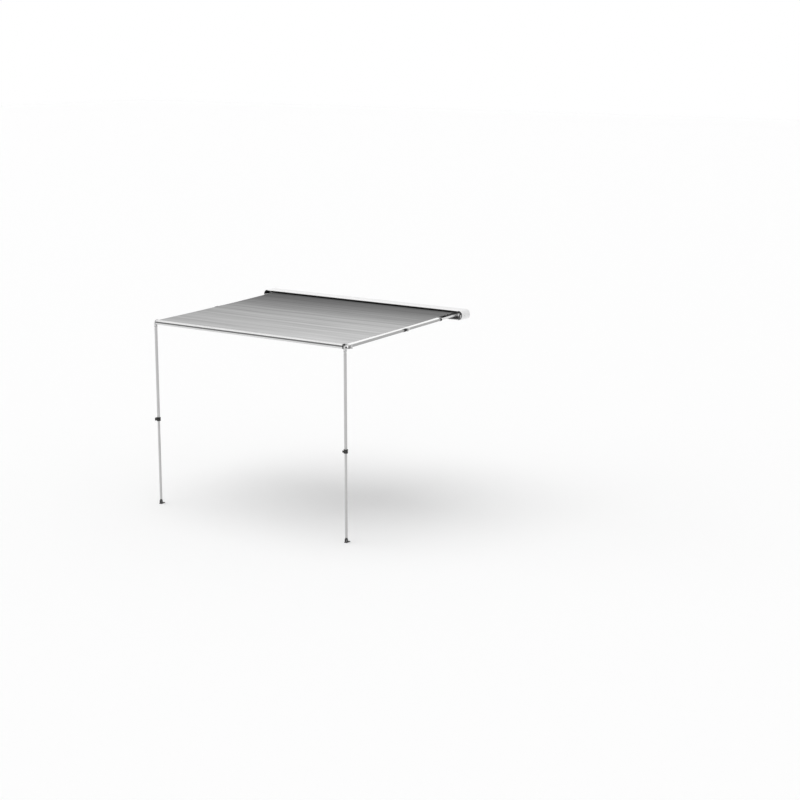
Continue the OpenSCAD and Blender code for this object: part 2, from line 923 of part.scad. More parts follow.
module foot(side) {
    ear_x = foot_tongue / 2 + face_gap;
    color(grey_plastic)
        leg_frame(side)
            translate([0, 0, -bolt_height])
                difference() {
                    union() {
                        translate([-foot_w / 2, -foot_heel, 0])
                            cube([foot_w, foot_heel + foot_toe - foot_w / 2, foot_t]);
                        translate([0, foot_toe - foot_w / 2, 0]) cylinder(r = foot_w / 2, h = foot_t);
                        for (s = [-1, 1])
                            translate([s * (ear_x + foot_ear_t / 2), 0, 0]) {
                                translate([0, 0, foot_pin_z])
                                    rod_x(foot_ear_r, -foot_ear_t / 2, foot_ear_t / 2);
                                translate([-foot_ear_t / 2, -foot_ear_r, 0])
                                    cube([foot_ear_t, 2 * foot_ear_r, foot_pin_z]);
                            }
                    }
                    translate([0, peg_y, 0]) rod_z(peg_d / 2, -cut, foot_t + cut);
                    translate([0, 0, foot_pin_z]) rod_x(foot_pin_d / 2, -foot_w, foot_w);
                }
}

module foot_pin(side) {
    half_l = foot_tongue / 2 + face_gap + foot_ear_t;
    color(steel)
        leg_frame(side)
            translate([0, 0, foot_pin_z - bolt_height])
                rod_x(foot_pin_d / 2, -half_l, half_l);
}

back_rail();
hood();
bottom_tray();
cassette_end_cap(-1);  // cassette_end_cap_left
cassette_end_cap(1);  // cassette_end_cap_right
slot_seal();
spring_shaft();
torsion_spring();
idler_pin();
rafter_wall_brackets();
wall_pivot_pins();
cassette_screws();
canopy_fabric();
roller_tube();
roller_plugs();
fabric_roll();
lead_bar();
groove_strip();
bar_end_cap(-1);  // bar_end_cap_left
bar_end_cap(1);  // bar_end_cap_right
front_keder();
rafter_bar_brackets();
bar_pivot_pins();
leg_bolts();
rafter_rod(-1);  // rafter_rod_left
rafter_rod(1);  // rafter_rod_right
lock_collar(-1);  // lock_collar_left
lock_collar(1);  // lock_collar_right
rafter_mid_tube(-1);  // rafter_mid_tube_left
rafter_mid_tube(1);  // rafter_mid_tube_right
elbow_rear(-1);  // elbow_rear_left
elbow_rear(1);  // elbow_rear_right
elbow_front(-1);  // elbow_front_left
elbow_front(1);  // elbow_front_right
elbow_pin(-1);  // elbow_pin_left
elbow_pin(1);  // elbow_pin_right
rafter_front_tube(-1);  // rafter_front_tube_left
rafter_front_tube(1);  // rafter_front_tube_right
rafter_front_eye(-1);  // rafter_front_eye_left
rafter_front_eye(1);  // rafter_front_eye_right
leg_knuckle(-1);  // leg_knuckle_left
leg_knuckle(1);  // leg_knuckle_right
fold_pin(-1);  // fold_pin_left
fold_pin(1);  // fold_pin_right
leg_top(-1);  // leg_top_left
leg_top(1);  // leg_top_right
leg_upper_tube(-1);  // leg_upper_tube_left
leg_upper_tube(1);  // leg_upper_tube_right
leg_clamp(-1);  // leg_clamp_left
leg_clamp(1);  // leg_clamp_right
clamp_lever(-1);  // clamp_lever_left
clamp_lever(1);  // clamp_lever_right
leg_lower_tube(-1);  // leg_lower_tube_left
leg_lower_tube(1);  // leg_lower_tube_right
leg_end_plug(-1);  // leg_end_plug_left
leg_end_plug(1);  // leg_end_plug_right
foot(-1);  // foot_left
foot(1);  // foot_right
foot_pin(-1);  // foot_pin_left
foot_pin(1);  // foot_pin_right
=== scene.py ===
import json
import math

import bmesh
import bpy
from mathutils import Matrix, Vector

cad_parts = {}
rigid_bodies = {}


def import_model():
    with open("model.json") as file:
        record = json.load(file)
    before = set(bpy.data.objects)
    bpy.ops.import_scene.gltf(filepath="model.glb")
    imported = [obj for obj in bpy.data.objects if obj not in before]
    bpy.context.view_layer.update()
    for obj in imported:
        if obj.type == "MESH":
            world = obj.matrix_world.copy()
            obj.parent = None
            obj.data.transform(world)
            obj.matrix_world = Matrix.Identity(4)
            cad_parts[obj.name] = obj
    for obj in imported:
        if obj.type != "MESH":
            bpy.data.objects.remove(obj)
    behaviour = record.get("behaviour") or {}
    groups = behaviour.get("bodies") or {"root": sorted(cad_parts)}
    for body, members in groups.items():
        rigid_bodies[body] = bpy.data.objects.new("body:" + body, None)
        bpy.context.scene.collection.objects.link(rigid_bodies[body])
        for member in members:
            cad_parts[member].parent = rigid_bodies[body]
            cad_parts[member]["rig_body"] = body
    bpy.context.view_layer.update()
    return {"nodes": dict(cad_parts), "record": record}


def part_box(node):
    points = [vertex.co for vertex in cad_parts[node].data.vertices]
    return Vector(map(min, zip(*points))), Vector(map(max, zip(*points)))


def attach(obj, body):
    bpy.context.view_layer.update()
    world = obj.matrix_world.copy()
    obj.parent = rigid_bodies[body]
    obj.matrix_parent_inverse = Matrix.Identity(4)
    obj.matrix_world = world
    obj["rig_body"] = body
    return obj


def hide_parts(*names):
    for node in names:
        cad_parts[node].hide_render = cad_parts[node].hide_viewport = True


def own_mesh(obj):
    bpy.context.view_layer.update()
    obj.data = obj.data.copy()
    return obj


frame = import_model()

nodes = frame["nodes"]
joints = {joint["name"]: joint for joint in frame["record"]["behaviour"]["joints"]}
SIDES = {"left": -1, "right": 1}

# Lengths written with MM are in metres, and the others in millimetres where their comment says so
MM = 0.001
X, Y, Z = Vector((1, 0, 0)), Vector((0, 1, 0)), Vector((0, 0, 1))

# Camera of the photograph, in metres and degrees, in the part's frame
CAMERA_AT = (12.3675, -16.906, 3.2959)
CAMERA_TURN = (77.778, 0.0, 35.069)
CAMERA_LENS_MM = 76.44
CAMERA_SENSOR_MM = 36.0
CAMERA_REACH = 300.0

# Floor in metres, and its grey
FLOOR_HALF = 90.0
FLOOR_GREY = 250

# Light: the strength of the world, and for each sun its turn, strength and spread in degrees
AMBIENT = 0.66
SUNS = {
    "key": ((10.0, -10.0, 0.0), 0.92, 60.0),
    "fill": ((30.0, -62.0, 0.0), 0.6, 60.0),
}

# Widths of rounded edges in metres, from pins to the caps of the front bar
EDGE_PIN = 0.5 * MM
EDGE_FINE = 0.8 * MM
EDGE_ELBOW = 1.0 * MM
EDGE_SOFT = 1.2 * MM
EDGE_BAR_CAP = 1.5 * MM

# Limits for the clean up of a copied solid: metres, degrees between flat faces, degrees at an edge
WELD = 1e-5
FLAT_WITHIN = 1.0
SHARP_FROM = 35.0

# Screw heads in millimetres: radius, height and width of the key
CAP_SCREW = (4.5, 2.0, 3.0)
BAR_SCREW = (4.0, 1.6, 2.5)
CLAMP_SCREW = (5.0, 3.2, 4.0)

# Directions of the canopy: square to it, and up its fall
upward = -Vector(joints["roll_in"]["axis"])
uphill = upward.cross(X)

# The canopy's cloth in metres, from the solid that it replaces
CLOTH_SOLID_T = 1 * MM
cloth_lo, cloth_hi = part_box("canopy_fabric")
cloth_w = cloth_hi.x - cloth_lo.x
cloth_len = math.hypot(cloth_hi.y - cloth_lo.y, cloth_hi.z - cloth_lo.z - CLOTH_SOLID_T)
cloth_rear = Vector((0.0, cloth_hi.y, cloth_hi.z - CLOTH_SOLID_T / 2))

# The end of the cloth that is narrowed to enter the bar's slot, and its room beside the bar's end
CLOTH_TAB = 4 * MM
TAB_ROOM = 0.3 * MM
wide_len = cloth_len - CLOTH_TAB
bar_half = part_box("lead_bar")[1].x


# Materials

# Stretches of a noise's range, which lies mostly about its middle
CORE = (0.35, 0.65)
MIDDLE = (0.3, 0.7)
WIDE = (0.2, 0.8)

# Drawing lines of an extrusion, per metre
LINES_ACROSS = 420.0
LINES_ALONG = 3.0


def srgb(level):
    """A grey written as 0 to 255, as the linear colour that a shader takes."""
    v = level / 255.0
    lin = v / 12.92 if v <= 0.04045 else ((v + 0.055) / 1.055) ** 2.4
    return (lin, lin, lin, 1.0)


class Surface:
    """A principled material with a few short ways to wire detail into it."""

    def __init__(self, name, coords="Object", **sockets):
        self.mat = bpy.data.materials.new(name)
        self.mat.use_nodes = True
        self.tree = self.mat.node_tree
        self.bsdf = next(n for n in self.tree.nodes if n.type == "BSDF_PRINCIPLED")
        for key, value in sockets.items():
            self.bsdf.inputs[key.replace("_", " ")].default_value = value
        self.coords = self.add("ShaderNodeTexCoord").outputs[coords]

    def add(self, kind, **settings):
        node = self.tree.nodes.new(kind)
        for key, value in settings.items():
            setattr(node, key, value)
        return node

    def link(self, a, b):
        self.tree.links.new(a, b)

    def to(self, socket, value):
        self.link(value, self.bsdf.inputs[socket])

    def noise(self, grains, detail=3.0, rough=0.55):
        """Noise with that many grains a metre: one number, or one for each axis."""
        mapping = self.add("ShaderNodeMapping")
        mapping.inputs["Scale"].default_value = (grains,) * 3 if isinstance(grains, float) else grains
        self.link(self.coords, mapping.inputs["Vector"])
        node = self.add("ShaderNodeTexNoise")
        node.inputs["Scale"].default_value = 1.0
        node.inputs["Detail"].default_value = detail
        node.inputs["Roughness"].default_value = rough
        self.link(mapping.outputs["Vector"], node.inputs["Vector"])
        return node.outputs["Fac"]

    def axis(self, name):
        node = self.add("ShaderNodeSeparateXYZ")
        self.link(self.coords, node.inputs["Vector"])
        return node.outputs[name]

    def ramp(self, fac, stops):
        """A grey for each value, from stops of a place and a level."""
        node = self.add("ShaderNodeValToRGB")
        elements = node.color_ramp.elements
        while len(elements) < len(stops):
            elements.new(0.5)
        for element, (place, level) in zip(elements, stops):
            element.position = place
            element.color = srgb(level)
        self.link(fac, node.inputs["Fac"])
        return node.outputs["Color"]

    def span(self, value, source, target=(0.0, 1.0)):
        """A value taken from one range to another."""
        node = self.add("ShaderNodeMapRange")
        for key, limit in zip(("From Min", "From Max", "To Min", "To Max"), source + target):
            node.inputs[key].default_value = limit
        self.link(value, node.inputs["Value"])
        return node.outputs["Result"]

    def math(self, operation, a, b):
        node = self.add("ShaderNodeMath", operation=operation)
        self.link(a, node.inputs[0])
        self.link(b, node.inputs[1])
        return node.outputs["Value"]

    def times(self, colour, factor):
        """A colour scaled by a number, such as a stripe's shade."""
        node = self.add("ShaderNodeVectorMath", operation="SCALE")
        self.link(colour, node.inputs[0])
        self.link(factor, node.inputs["Scale"])
        return node.outputs["Vector"]

    def bump(self, height, strength, depth):
        node = self.add("ShaderNodeBump")
        node.inputs["Strength"].default_value = strength
        node.inputs["Distance"].default_value = depth
        self.link(height, node.inputs["Height"])
        self.to("Normal", node.outputs["Normal"])


def anodised(name, along, level, metal=0.6):
    """Satin anodised aluminium with fine drawing lines along one axis and faint handling marks."""
    s = Surface(name, Metallic=metal)
    grains = [LINES_ACROSS] * 3
    grains["XYZ".index(along)] = LINES_ALONG
    lines = s.noise(grains, detail=4.0)
    marks = s.noise(5.0, detail=4.0)
    tone = s.ramp(lines, [(0.3, level - 9), (0.7, level + 7)])
    s.to("Base Color", s.times(tone, s.span(marks, MIDDLE, (0.95, 1.02))))
    dulled = s.span(marks, (0.4, 0.8), (0.0, 0.08))
    s.to("Roughness", s.math("ADD", s.span(lines, WIDE, (0.28, 0.38)), dulled))
    s.bump(lines, strength=0.12, depth=0.4 * MM)
    return s.mat


def cast(name, level, metal):
    """Die cast alloy with a fine sand grain."""
    s = Surface(name, Metallic=metal)
    grain = s.noise(700.0)
    cloud = s.noise(30.0)
    s.to("Base Color", s.ramp(cloud, [(0.3, level - 8), (0.75, level + 8)]))
    s.to("Roughness", s.span(grain, WIDE, (0.38, 0.56)))
    s.bump(grain, strength=0.2, depth=0.4 * MM)
    return s.mat


def moulded(name, level, rough=0.5, grain=900.0):
    """Moulded plastic with a fine spark grain and a little dust in its tone."""
    s = Surface(name)
    grit = s.noise(grain, detail=2.0)
    dust = s.noise(14.0)
    s.to("Base Color", s.ramp(dust, [(0.3, level - 6), (0.75, level + 8)]))
    s.to("Roughness", s.span(grit, WIDE, (rough - 0.08, rough + 0.1)))
    s.bump(grit, strength=0.18, depth=0.4 * MM)
    return s.mat


def painted(name, level):
    """Gloss powder coat with a light orange peel and rain marks that run down it."""
    s = Surface(name, Coat_Weight=0.15, Coat_Roughness=0.2)
    peel = s.noise(260.0, detail=1.0)
    rain = s.noise((24.0, 24.0, 2.0), detail=4.0)
    s.to("Base Color", s.ramp(rain, [(0.3, level - 6), (0.7, level)]))
    s.to("Roughness", s.span(rain, WIDE, (0.28, 0.42)))
    s.bump(peel, strength=0.1, depth=0.6 * MM)
    return s.mat


def plated(name, level):
    """Zinc plated steel with a faint spangle."""
    s = Surface(name, Metallic=1.0)
    spangle = s.noise(180.0, detail=4.0)
    s.to("Base Color", s.ramp(spangle, [(0.3, level - 14), (0.7, level + 14)]))
    s.to("Roughness", s.span(spangle, WIDE, (0.24, 0.42)))
    s.bump(spangle, strength=0.08, depth=0.3 * MM)
    return s.mat


# Greys down the cloth, from the wall to the front bar
CLOTH_TONES = [(0.0, 91), (0.14, 112), (0.32, 147), (0.52, 179), (1.0, 197)]
# Painted shade across the cloth: the scale of its colour at the left and the right edge, darker to the
# left
CLOTH_PAINTED_SHADE = (0.79, 1.05)
# Stripes from broad to short: changes a metre across and down the cloth, the detail and roughness of
# their noise, and how far they swing the shade
STRIPES = [
    (0.05, 7.0, 1.0, 0.55, 0.06),
    (0.12, 16.0, 2.0, 0.65, 0.12),
    (0.9, 22.0, 2.0, 0.6, 0.07),
]
YARN_GRAINS = (500.0, 900.0, 1.0)
THREADS_PER_M = 260.0
THREAD_WANDER = 0.6


def striped_cloth(name):
    """Coated woven cloth, dark at the wall and light in front, with streaked stripes along the bar and
    painted shade that darkens it toward its left edge.

    Its UV map is in metres: across the cloth and down its fall."""
    s = Surface(name, coords="UV", Roughness=0.85, Specular_IOR_Level=0.1)
    tone = s.ramp(s.span(s.axis("Y"), (0.0, cloth_len)), CLOTH_TONES)
    # Painted shade: the cloth's colour darkens toward its left edge
    painted_side_shade = s.span(s.axis("X"), (-cloth_w / 2, cloth_w / 2), CLOTH_PAINTED_SHADE)
    shade = s.span(s.noise(YARN_GRAINS, detail=2.0), MIDDLE, (0.95, 1.05))
    for across, down, detail, rough, swing in STRIPES:
        stripe = s.noise((across, down, 1.0), detail, rough)
        shade = s.math("ADD", shade, s.span(stripe, CORE, (-swing, swing)))
    s.to("Base Color", s.times(tone, s.math("MULTIPLY", painted_side_shade, shade)))
    warp = s.add("ShaderNodeTexWave", bands_direction="X")
    weft = s.add("ShaderNodeTexWave", bands_direction="Y")
    for wave in (warp, weft):
        wave.inputs["Scale"].default_value = THREADS_PER_M
        wave.inputs["Distortion"].default_value = THREAD_WANDER
        s.link(s.coords, wave.inputs["Vector"])
    weave = s.math("MAXIMUM", warp.outputs["Fac"], weft.outputs["Fac"])
    s.bump(weave, strength=0.25, depth=0.3 * MM)
    return s.mat


# Levels are greys from 0 to 255
WHITE = painted("white_powder_coat", 241)
BLACK = moulded("black_moulded", 26)
# Near-black for the upper half of the end caps' pockets: painted shade over their grey lining
POCKET_PAINTED_SHADE = moulded("painted_shade_lining", 16, rough=0.7)
TRAY = moulded("grey_lining", 232, rough=0.6)
FOOT = moulded("grey_moulded", 66)
GROOVE = moulded("groove_insert", 94, rough=0.42)
RUBBER = moulded("seal_rubber", 60, rough=0.7, grain=400.0)
THREAD = moulded("sewing_thread", 150, rough=0.75, grain=1600.0)
CASTING = cast("coated_casting", 150, metal=0.0)
FITTING = cast("bright_casting", 205, metal=0.25)
STEEL = plated("zinc_plated", 165)
BOLT = plated("blackened_bolt", 42)
BAR = anodised("bar_anodised", "X", 213, metal=0.4)
RAIL = anodised("rail_anodised", "X", 215, metal=0.1)
LEG = anodised("leg_anodised", "Z", 192)
TUBE = anodised("rafter_anodised", "Y", 172)
ROD = anodised("rod_anodised", "Y", 228)
CLOTH = striped_cloth("striped_cloth")


# Building blocks for the pieces that the scene adds

class Place:
    """A local frame whose sizes are in millimetres: x runs along it, and z stands up from it."""

    def __init__(self, origin, along, stand=None):
        self.origin = Vector(origin)
        self.x = Vector(along).normalized()
        stand = Vector(stand) if stand else (Z if abs(self.x.z) < 0.9 else Y)
        self.z = (stand - self.x * stand.dot(self.x)).normalized()
        self.y = self.z.cross(self.x)

    def __call__(self, x, y, z):
        return self.origin + (self.x * x + self.y * y + self.z * z) * MM

    def ring(self, x, radius, count=36):
        """A ring round the x axis. The radius is a number, or a function of the angle."""
        points = []
        for i in range(count):
            a = 2 * math.pi * i / count
            r = radius(a) if callable(radius) else radius
            points.append(self(x, r * math.cos(a), r * math.sin(a)))
        return points


def hexagon(across):
    """A hexagon's radius as a function of the angle, from its width across flats."""
    return lambda a: across / 2 / math.cos((a + math.pi / 6) % (math.pi / 3) - math.pi / 6)


def flutes(radius, depth, count):
    """A fluted grip's radius as a function of the angle."""
    return lambda a: radius - depth * (0.5 + 0.5 * math.cos(count * a))


class Shape:
    """Points and faces of one new mesh."""

    def __init__(self):
        self.verts = []
        self.faces = []

    def net(self, rows, close=False, wrap=False):
        """Joins rows of points into a surface.

        close joins each row's ends, and wrap joins the last row and the first."""
        first, n, m = len(self.verts), len(rows[0]), len(rows)
        for row in rows:
            self.verts.extend(row)
        for j in range(m if wrap else m - 1):
            a, b = first + j * n, first + (j + 1) % m * n
            for i in range(n if close else n - 1):
                k = (i + 1) % n
                self.faces.append((a + i, a + k, b + k, b + i))
        return first

    def loft(self, rings):
        """A closed body through the rings, with flat ends."""
        n = len(rings[0])
        first = self.net(rings, close=True)
        last = first + (len(rings) - 1) * n
        self.faces.append(tuple(range(first + n - 1, first - 1, -1)))
        self.faces.append(tuple(range(last, last + n)))

    def screw(self, place, radius, height, key):
        """A round screw head with a hexagon socket."""
        self.loft([
            place.ring(0, radius),
            place.ring(0.7 * height, radius),
            place.ring(height, 0.82 * radius),
            place.ring(height, hexagon(key)),
            place.ring(0.35 * height, hexagon(key)),
        ])

    def rib(self, place, length, width, height):
        """A half round rib along the place's x, a little sunk into what carries it."""
        sink = 0.2
        turns = [math.pi * i / 6 for i in range(7)]
        self.loft([
            [
                place(length * end, -0.5 * width * k * math.cos(t), height * k * math.sin(t) - sink)
                for t in turns
            ]
            for end, k in ((-0.5, 0.55), (-0.46, 1.0), (0.46, 1.0), (0.5, 0.55))
        ])

    def build(self, name, material, body, uv=None, sharp=SHARP_FROM):
        mesh = bpy.data.meshes.new(name)
        mesh.from_pydata(self.verts, [], self.faces)
        bm = bmesh.new()
        bm.from_mesh(mesh)
        bmesh.ops.recalc_face_normals(bm, faces=bm.faces)
        bm.to_mesh(mesh)
        bm.free()
        mesh.materials.append(material)
        mesh.shade_smooth()
        mesh.set_sharp_from_angle(angle=math.radians(sharp))
        if uv:
            layer = mesh.uv_layers.new(name="cloth")
            for loop in mesh.loops:
                layer.data[loop.index].uv = uv[loop.vertex_index]
        obj = bpy.data.objects.new(name, mesh)
        bpy.context.scene.collection.objects.link(obj)
        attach(obj, body)
        return obj


def paint(node, material):
    materials = nodes[node].data.materials
    materials.clear()
    materials.append(material)


def dressed(node, materials, width, segments=2, pick=None, rework=None):
    """A copy of the node's shape with rounded edges, in place of the node.

    rework changes the copy first, and pick(centre, normal) gives a face's place in materials."""
    bm = bmesh.new()
    bm.from_mesh(nodes[node].data)
    bmesh.ops.remove_doubles(bm, verts=bm.verts, dist=WELD)
    flat = math.radians(FLAT_WITHIN)
    bmesh.ops.dissolve_limit(bm, angle_limit=flat, verts=bm.verts, edges=bm.edges)
    if rework:
        rework(bm)
    for face in bm.faces:
        face.smooth = True
        face.material_index = pick(face.calc_center_median(), face.normal) if pick else 0
    mesh = bpy.data.meshes.new(node + "_dressed")
    bm.to_mesh(mesh)
    bm.free()
    for material in materials:
        mesh.materials.append(material)
    obj = bpy.data.objects.new(node + "_dressed", mesh)
    bpy.context.scene.collection.objects.link(obj)
    bevel = obj.modifiers.new("edges", "BEVEL")
    bevel.width = width
    bevel.segments = segments
    bevel.limit_method = "ANGLE"
    bevel.angle_limit = math.radians(SHARP_FROM)
    bevel.harden_normals = True
    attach(obj, nodes[node]["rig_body"])
    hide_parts(node)


# Canopy

# Sag at the cloth's middle, and the share of it that is missing at the side edges
CLOTH_SAG = 10 * MM
SAG_LOST = 0.35
# How far the side edges draw in between the roller and the bar
CLOTH_PULL = 3 * MM
# Ripples across the cloth: their height, and the angle at the middle and from there to an edge
RIPPLE = 1.2 * MM
RIPPLE_START = 2.0
RIPPLE_SPAN = 9.0
# Cells of the sheet's mesh across and down it. The hems have as many rows
CLOTH_COLUMNS = 110
CLOTH_ROWS = 96

# Section of a side hem in millimetres: inward from the cloth's edge, and up from the cloth
HEM_W = 28
HEM_SECTION = [
    (-0.6, -0.2), (-0.4, 0.35), (0.8, 0.6), (HEM_W - 1, 0.6), (HEM_W, 0.1),
    (HEM_W, -0.9), (HEM_W - 1, -1.3), (0.8, -1.3), (-0.4, -0.9),
]
# How far a hem stops short of where the cloth narrows
HEM_STOP = 1 * MM

# A stitch in millimetres: along it, and its radius there
STITCH_SECTION = [(-2.9, 0.15), (-2.0, 0.5), (2.0, 0.5), (2.9, 0.15)]
STITCH_SIDES = 6
STITCH_PITCH = 7.5 * MM
# Rows of stitches on a hem: in from its two edges in millimetres, and room at the row's ends
HEM_ROW_IN = 4
HEM_ROW_START = 2 * MM
HEM_ROW_STOP = 4 * MM
# Rows of stitches behind the bar: back from where the cloth narrows
BAR_ROWS_BACK = (12 * MM, 18 * MM)
# How high the thread lies on a hem and on the bare cloth
THREAD_ON_HEM = 0.6 * MM
THREAD_ON_CLOTH = 0.1 * MM

# Cloth on the roller: its room to the tube in millimetres, its turns, and the steps of each turn
ROLL_ROOM = 0.1
ROLL_TURNS = 5
ROLL_STEPS = 48

# Bead in the bar: rings along it, points in a ring, and how deep the cord shows in millimetres
BEAD_RINGS = 240
BEAD_SIDES = 20
BEAD_LAY = 0.25


def cloth_point(x, s):
    """A point of the cloth, x across it and s down its fall from the roller."""
    wave = math.sin(math.pi * min(s / cloth_len, 1.0))
    a = 2 * x / cloth_w
    sag = CLOTH_SAG * wave * (1.0 - SAG_LOST * a * a)
    ripple = RIPPLE * math.sin(RIPPLE_SPAN * a + RIPPLE_START) * wave * wave
    p = cloth_rear - uphill * s - upward * (sag - ripple)
    return Vector((x - CLOTH_PULL * a * abs(a) * wave, p.y, p.z))


def flatten(piece):
    """Gives the piece a mesh of its own."""
    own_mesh(piece)


def make_sheet():
    """The cloth from the roller to the bar, narrowed where it enters the bar's slot."""
    lines = [(wide_len * j / CLOTH_ROWS, cloth_w / 2) for j in range(CLOTH_ROWS + 1)]
    lines += [(wide_len + t * CLOTH_TAB, bar_half - TAB_ROOM) for t in (0.1, 1.0)]
    shares = [2.0 * i / CLOTH_COLUMNS - 1.0 for i in range(CLOTH_COLUMNS + 1)]
    grid = [[(half * share, s) for share in shares] for s, half in lines]
    uv = [p for row in grid for p in row]
    shape = Shape()
    shape.net([[cloth_point(x, s) for x, s in row] for row in grid])
    sheet = shape.build("canopy_sheet", CLOTH, "cassette", uv=uv)
    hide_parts("canopy_fabric")
    flatten(sheet)
    return sheet


def make_hem(side, sx):
    """The folded edge of the cloth along one side."""
    rings, uv = [], []
    for j in range(CLOTH_ROWS + 1):
        s = (wide_len - HEM_STOP) * j / CLOTH_ROWS
        ring = [(sx * (cloth_w / 2 - u * MM), s, w * MM) for u, w in HEM_SECTION]
        rings.append([cloth_point(x, s) + upward * w for x, s, w in ring])
        uv += [(x, s) for x, s, w in ring]
    shape = Shape()
    shape.loft(rings)
    hem = shape.build("canopy_hem_" + side, CLOTH, "cassette", uv=uv)
    flatten(hem)
    return hem


def sew(shape, start, end, lift):
    """A row of stitches on the cloth between two points (x, s), lift above it."""
    count = int(math.dist(start, end) / STITCH_PITCH)
    ahead = cloth_point(*end) - cloth_point(*start)
    for i in range(count):
        t = (i + 0.5) / count
        at = cloth_point(*(a + (b - a) * t for a, b in zip(start, end))) + upward * lift
        place = Place(at, ahead, upward)
        shape.loft([place.ring(x, r, STITCH_SIDES) for x, r in STITCH_SECTION])


def make_stitches():
    """Two rows along each side hem, and two behind the bar."""
    shape = Shape()
    end = wide_len - HEM_ROW_STOP
    for sx in SIDES.values():
        for inward in (HEM_ROW_IN, HEM_W - HEM_ROW_IN):
            x = sx * (cloth_w / 2 - inward * MM)
            sew(shape, (x, HEM_ROW_START), (x, end), THREAD_ON_HEM)
    half = cloth_w / 2 - HEM_W * MM
    for back in BAR_ROWS_BACK:
        s = wide_len - back
        sew(shape, (-half, s), (half, s), THREAD_ON_CLOTH)
    stitches = shape.build("canopy_stitches", THREAD, "cassette")
    flatten(stitches)
    return stitches


def radius_of(node):
    """Radius in millimetres of a round node that lies along x."""
    lo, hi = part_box(node)
    return (hi.z - lo.z) / 2 / MM


def make_roll():
    """The layers of cloth that stay on the roller, wound in one spiral."""
    place = Place(joints["roller_spin"]["pos_m"], X)
    core, outside = radius_of("roller_tube") + ROLL_ROOM, radius_of("fabric_roll")
    half = cloth_w / 2 / MM
    steps = ROLL_TURNS * ROLL_STEPS
    rows, uv, wound = [], [], 0.0
    for i in range(steps + 1):
        r = core + (outside - core) * i / steps
        a = math.pi / 2 + 2 * math.pi * i / ROLL_STEPS
        rows.append([place(x, r * math.cos(a), r * math.sin(a)) for x in (-half, 0, half)])
        uv += [(x * MM, -wound) for x in (-half, 0, half)]
        wound += 2 * math.pi * r * MM / ROLL_STEPS
    shape = Shape()
    shape.net(rows)
    roll = shape.build("wound_cloth", CLOTH, "roller", uv=uv, sharp=80.0)
    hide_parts("fabric_roll")


def make_bead():
    """The bead that holds the cloth in the bar: a cord wrapped by the cloth's edge."""
    lo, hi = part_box("front_keder")
    place = Place(((lo.x + hi.x) / 2, (lo.y + hi.y) / 2, (lo.z + hi.z) / 2), X)
    half, radius = (hi.x - lo.x) / 2 / MM, radius_of("front_keder")
    rings, uv = [], []
    for j in range(BEAD_RINGS + 1):
        x = half * (2 * j / BEAD_RINGS - 1)
        rings.append(place.ring(x, radius - BEAD_LAY * (j % 2), BEAD_SIDES))
        uv += [(x * MM, cloth_len + i * MM) for i in range(BEAD_SIDES)]
    shape = Shape()
    shape.loft(rings)
    bead = shape.build("cloth_bead", CLOTH, "lead_bar", uv=uv)
    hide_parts("front_keder")


sheet = make_sheet()
trim = [make_hem(side, sx) for side, sx in SIDES.items()] + [make_stitches()]
make_roll()
make_bead()


# Cassette

case_mid = Vector((0.0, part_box("hood")[0].y / 2, 0.0))
case_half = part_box("hood")[1].x

# End caps: how far out the web that closes the case may lie, and how deep the rim of the shell is
CAP_WEB_OUT = 7 * MM
CAP_RIM = 1 * MM
# Screws of an end cap: shares of its depth, and how far they are sunk
CAP_SCREW_SHARES = (0.25, 0.75)
CAP_SCREW_SINK = 1.5 * MM

# Section of the seal in millimetres: across it, and down from the hood
SEAL_SECTION = [
    (-1.4, 0.0), (1.4, 0.0), (1.4, 2.6), (0.8, 4.4), (0.0, 6.0), (-0.8, 4.4), (-1.4, 2.6),
]
SEAL_STEPS = 60


def case_side(centre, normal):
    """0 on the outside of the hood or the tray, 1 on its inside."""
    away = Vector((0.0, centre.y - case_mid.y, centre.z - case_mid.z))
    return 0 if abs(normal.x) > 0.9 or normal.dot(away) > 0 else 1


def dress_end_cap(side, sx):
    """White shell round an open pocket, with painted shade on the pocket's upper half and the grey
    lining below.
    """
    node = "cassette_end_cap_" + side
    lo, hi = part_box(node)

    def cap_side(centre, normal):
        out = sx * centre.x - case_half
        web = abs(normal.x) > 0.99 and out < CAP_WEB_OUT
        if abs(normal.y) > 0.5:
            outside = min(centre.y - lo.y, hi.y - centre.y) < CAP_RIM
        else:
            outside = not web and normal.dot(Vector((sx * out, 0.0, centre.z))) > 0
        if outside:
            return 0
        # Inside the pocket: painted shade above mid height, the grey lining below
        return 1 if centre.z > 0 else 2

    # Cut at mid height, where the pocket's painted shade meets its grey lining
    def halve(bm):
        geometry = bm.verts[:] + bm.edges[:] + bm.faces[:]
        bmesh.ops.bisect_plane(bm, geom=geometry, plane_co=(0, 0, 0), plane_no=Z)

    dressed(node, [WHITE, POCKET_PAINTED_SHADE, TRAY], EDGE_FINE, pick=cap_side, rework=halve)


def add_cap_screws(shape, side, sx):
    lo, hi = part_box("cassette_end_cap_" + side)
    tip = hi.x if sx > 0 else lo.x
    for share in CAP_SCREW_SHARES:
        spot = (tip - sx * CAP_SCREW_SINK, lo.y + share * (hi.y - lo.y), 0.0)
        shape.screw(Place(spot, X * sx), *CAP_SCREW)


def make_seal():
    """The rubber lip along the hood's front edge."""
    lo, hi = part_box("slot_seal")
    place = Place(((lo.x + hi.x) / 2, (lo.y + hi.y) / 2, hi.z), X)
    half = (hi.x - lo.x) / 2 / MM
    shape = Shape()
    shape.loft([
        [place(half * (2 * j / SEAL_STEPS - 1), across, -down) for across, down in SEAL_SECTION]
        for j in range(SEAL_STEPS + 1)
    ])
    seal = shape.build("seal_lip", RUBBER, "cassette", sharp=50.0)
    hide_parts("slot_seal")


